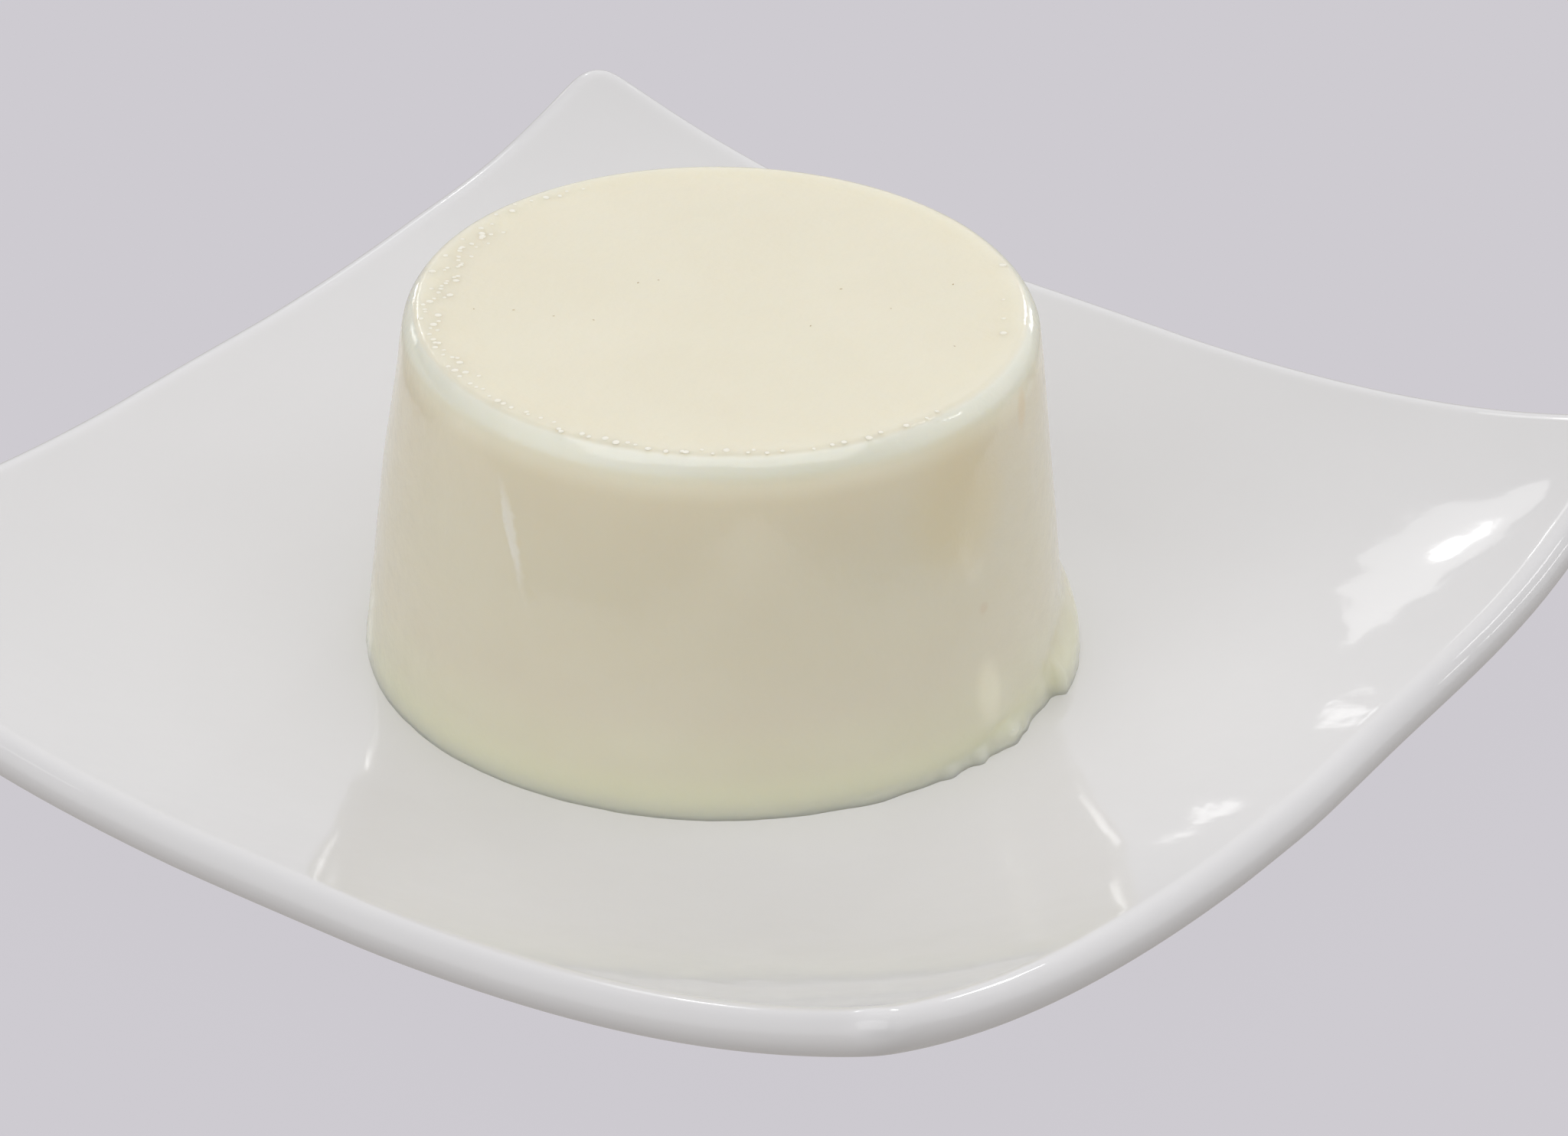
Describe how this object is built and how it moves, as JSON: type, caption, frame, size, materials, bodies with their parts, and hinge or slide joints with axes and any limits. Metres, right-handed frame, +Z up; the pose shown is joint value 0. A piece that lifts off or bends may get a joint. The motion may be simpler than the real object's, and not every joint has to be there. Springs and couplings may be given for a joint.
{
  "type": "panna cotta on a plate",
  "caption": "Turned-out panna cotta, a smooth cream-coloured truncated cone, on a small white square dished plate with upturned corners.",
  "frame": {"origin": "middle of the plate's foot ring, on the table", "axes": "+Z up; +X and +Y square to two sides of the plate"},
  "size_m": [0.1508, 0.1508, 0.0478],
  "materials": {
    "white_glaze": "clear gloss glaze on white porcelain",
    "set_cream": "moist, softly shining set cream"
  },
  "bodies": {
    "root": {"plate": "white_glaze", "panna_cotta": "set_cream"}
  },
  "joints": []
}
